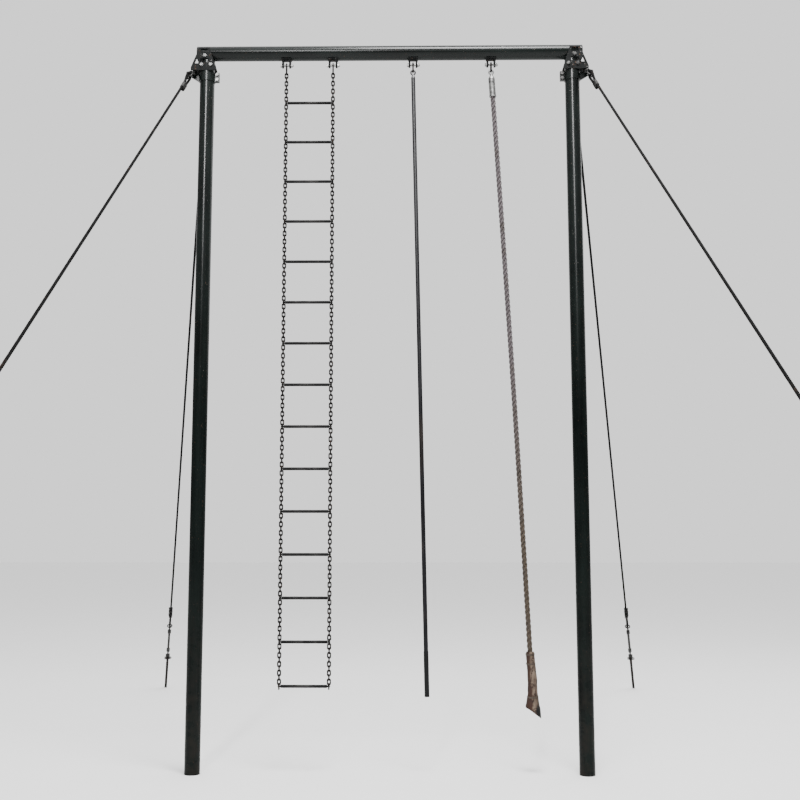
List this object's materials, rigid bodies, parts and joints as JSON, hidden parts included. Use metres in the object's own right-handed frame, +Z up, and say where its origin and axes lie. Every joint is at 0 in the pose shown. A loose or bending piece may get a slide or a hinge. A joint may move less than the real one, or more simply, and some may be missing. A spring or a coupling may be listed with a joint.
{
  "type": "guyed climbing gantry",
  "caption": "Tall free-standing steel climbing gantry: posts and crossbar braced by wire guys, carrying a chain ladder, a hanging steel pole and a hanging climbing rope.",
  "frame": {"origin": "on the ground, midway between the two posts", "axes": "+Z up, +X along the crossbar to the right as seen from the front, +Y from the front towards the back"},
  "size_m": [5.0467, 8.6941, 5.224],
  "materials": {
    "gantry_paint": "worn glossy green-black paint on steel tube",
    "bracket_paint": "chipped green-black paint on plate and forgings",
    "bolt_steel": "weathered zinc-plated bolts",
    "link_steel": "dull handled steel chain, a little rust",
    "rung_steel": "dark rungs, worn in the middle",
    "pole_steel": "dark steel tube polished by hands",
    "socket_steel": "galvanised socket",
    "rope_fibre": "weathered three-strand fibre rope",
    "boot_leather": "worn brown leather with a dark foot",
    "guy_wire": "weathered galvanised wire rope",
    "galvanised": "dull galvanised fittings",
    "anchor_rust": "rusty anchor rods"
  },
  "bodies": {
    "gantry": {"collar_bolts": "bolt_steel", "crossbar": "gantry_paint", "crossbar_caps": "gantry_paint", "ground_anchors": "anchor_rust", "guy_collar_left": "bracket_paint", "guy_collar_right": "bracket_paint", "guy_ferrules": "galvanised", "guy_shackles": "galvanised", "guy_thimbles": "galvanised", "guy_wire_back_left": "guy_wire", "guy_wire_back_right": "guy_wire", "guy_wire_front_left": "guy_wire", "guy_wire_front_right": "guy_wire", "hanger_yokes": "bracket_paint", "head_bolts": "bolt_steel", "head_bracket_left": "bracket_paint", "head_bracket_right": "bracket_paint", "jaw_pins": "bolt_steel", "post_left": "gantry_paint", "post_right": "gantry_paint", "shackle_pins": "galvanised", "turnbuckle_jaws": "galvanised", "turnbuckle_rings": "galvanised", "wire_clips": "galvanised", "yoke_pins": "bolt_steel"},
    "ladder_1": {"ladder_top_rings": "link_steel", "ladder_chain_1": "link_steel", "ladder_rungs_1": "rung_steel"},
    "ladder_2": {"ladder_chain_2": "link_steel", "ladder_rungs_2": "rung_steel"},
    "ladder_3": {"ladder_chain_3": "link_steel", "ladder_rungs_3": "rung_steel"},
    "ladder_4": {"ladder_chain_4": "link_steel", "ladder_rungs_4": "rung_steel"},
    "ladder_5": {"ladder_chain_5": "link_steel", "ladder_rungs_5": "rung_steel"},
    "ladder_6": {"ladder_chain_6": "link_steel", "ladder_rungs_6": "rung_steel"},
    "ladder_7": {"ladder_chain_7": "link_steel", "ladder_rungs_7": "rung_steel"},
    "ladder_8": {"ladder_chain_8": "link_steel", "ladder_rungs_8": "rung_steel"},
    "pole_ring": {"pole_hanger_ring": "link_steel"},
    "pole": {"pole_eye": "pole_steel", "pole_tube": "pole_steel", "pole_sleeve": "pole_steel"},
    "rope_ring": {"rope_hanger_ring": "link_steel"},
    "rope": {"rope_socket": "socket_steel", "climbing_rope": "rope_fibre", "rope_boot": "boot_leather"},
    "turnbuckle_front_left": {"turnbuckle_body_front_left": "galvanised"},
    "turnbuckle_front_right": {"turnbuckle_body_front_right": "galvanised"},
    "turnbuckle_back_left": {"turnbuckle_body_back_left": "galvanised"},
    "turnbuckle_back_right": {"turnbuckle_body_back_right": "galvanised"}
  },
  "joints": [
    {"name": "ladder_swing", "type": "hinge", "parent": "gantry", "child": "ladder_1", "pos_m": [-0.59, 0, 5.076], "axis": [1, 0, 0], "range_deg": [-40, 40]},
    {"name": "ladder_bend_2", "type": "hinge", "parent": "ladder_1", "child": "ladder_2", "pos_m": [-0.59, 0, 4.7768], "axis": [1, 0, 0], "range_deg": [-25, 25]},
    {"name": "ladder_bend_3", "type": "hinge", "parent": "ladder_2", "child": "ladder_3", "pos_m": [-0.59, 0, 4.1768], "axis": [1, 0, 0], "range_deg": [-25, 25]},
    {"name": "ladder_bend_4", "type": "hinge", "parent": "ladder_3", "child": "ladder_4", "pos_m": [-0.59, 0, 3.5768], "axis": [1, 0, 0], "range_deg": [-25, 25]},
    {"name": "ladder_bend_5", "type": "hinge", "parent": "ladder_4", "child": "ladder_5", "pos_m": [-0.59, 0, 2.9768], "axis": [1, 0, 0], "range_deg": [-25, 25]},
    {"name": "ladder_bend_6", "type": "hinge", "parent": "ladder_5", "child": "ladder_6", "pos_m": [-0.59, 0, 2.3768], "axis": [1, 0, 0], "range_deg": [-25, 25]},
    {"name": "ladder_bend_7", "type": "hinge", "parent": "ladder_6", "child": "ladder_7", "pos_m": [-0.59, 0, 1.7768], "axis": [1, 0, 0], "range_deg": [-25, 25]},
    {"name": "ladder_bend_8", "type": "hinge", "parent": "ladder_7", "child": "ladder_8", "pos_m": [-0.59, 0, 1.1768], "axis": [1, 0, 0], "range_deg": [-25, 25]},
    {"name": "pole_swing", "type": "hinge", "parent": "gantry", "child": "pole_ring", "pos_m": [0.175, 0, 5.076], "axis": [1, 0, 0], "range_deg": [-40, 40]},
    {"name": "pole_sway", "type": "hinge", "parent": "pole_ring", "child": "pole", "pos_m": [0.175, 0, 5.0216], "axis": [0, 1, 0], "range_deg": [-1, 4]},
    {"name": "rope_swing", "type": "hinge", "parent": "gantry", "child": "rope_ring", "pos_m": [0.752, 0, 5.076], "axis": [1, 0, 0], "range_deg": [-40, 40]},
    {"name": "rope_sway", "type": "hinge", "parent": "rope_ring", "child": "rope", "pos_m": [0.752, 0, 5.0216], "axis": [0, 1, 0], "range_deg": [-2.8, 6.6]},
    {"name": "turnbuckle_turn_front_left", "type": "hinge", "parent": "gantry", "child": "turnbuckle_front_left", "pos_m": [-2.35398, -3.87343, 0.53329], "axis": [-0.1493, -0.6431, -0.7511], "continuous": true},
    {"name": "turnbuckle_turn_front_right", "type": "hinge", "parent": "gantry", "child": "turnbuckle_front_right", "pos_m": [2.4436, -3.8745, 0.53204], "axis": [0.1639, -0.6416, -0.7494], "continuous": true},
    {"name": "turnbuckle_turn_back_left", "type": "hinge", "parent": "gantry", "child": "turnbuckle_back_left", "pos_m": [-2.34404, 3.87717, 0.53441], "axis": [-0.1633, 0.6378, -0.7527], "continuous": true},
    {"name": "turnbuckle_turn_back_right", "type": "hinge", "parent": "gantry", "child": "turnbuckle_back_right", "pos_m": [2.43369, 3.87832, 0.53304], "axis": [0.1779, 0.6362, -0.7508], "continuous": true}
  ]
}
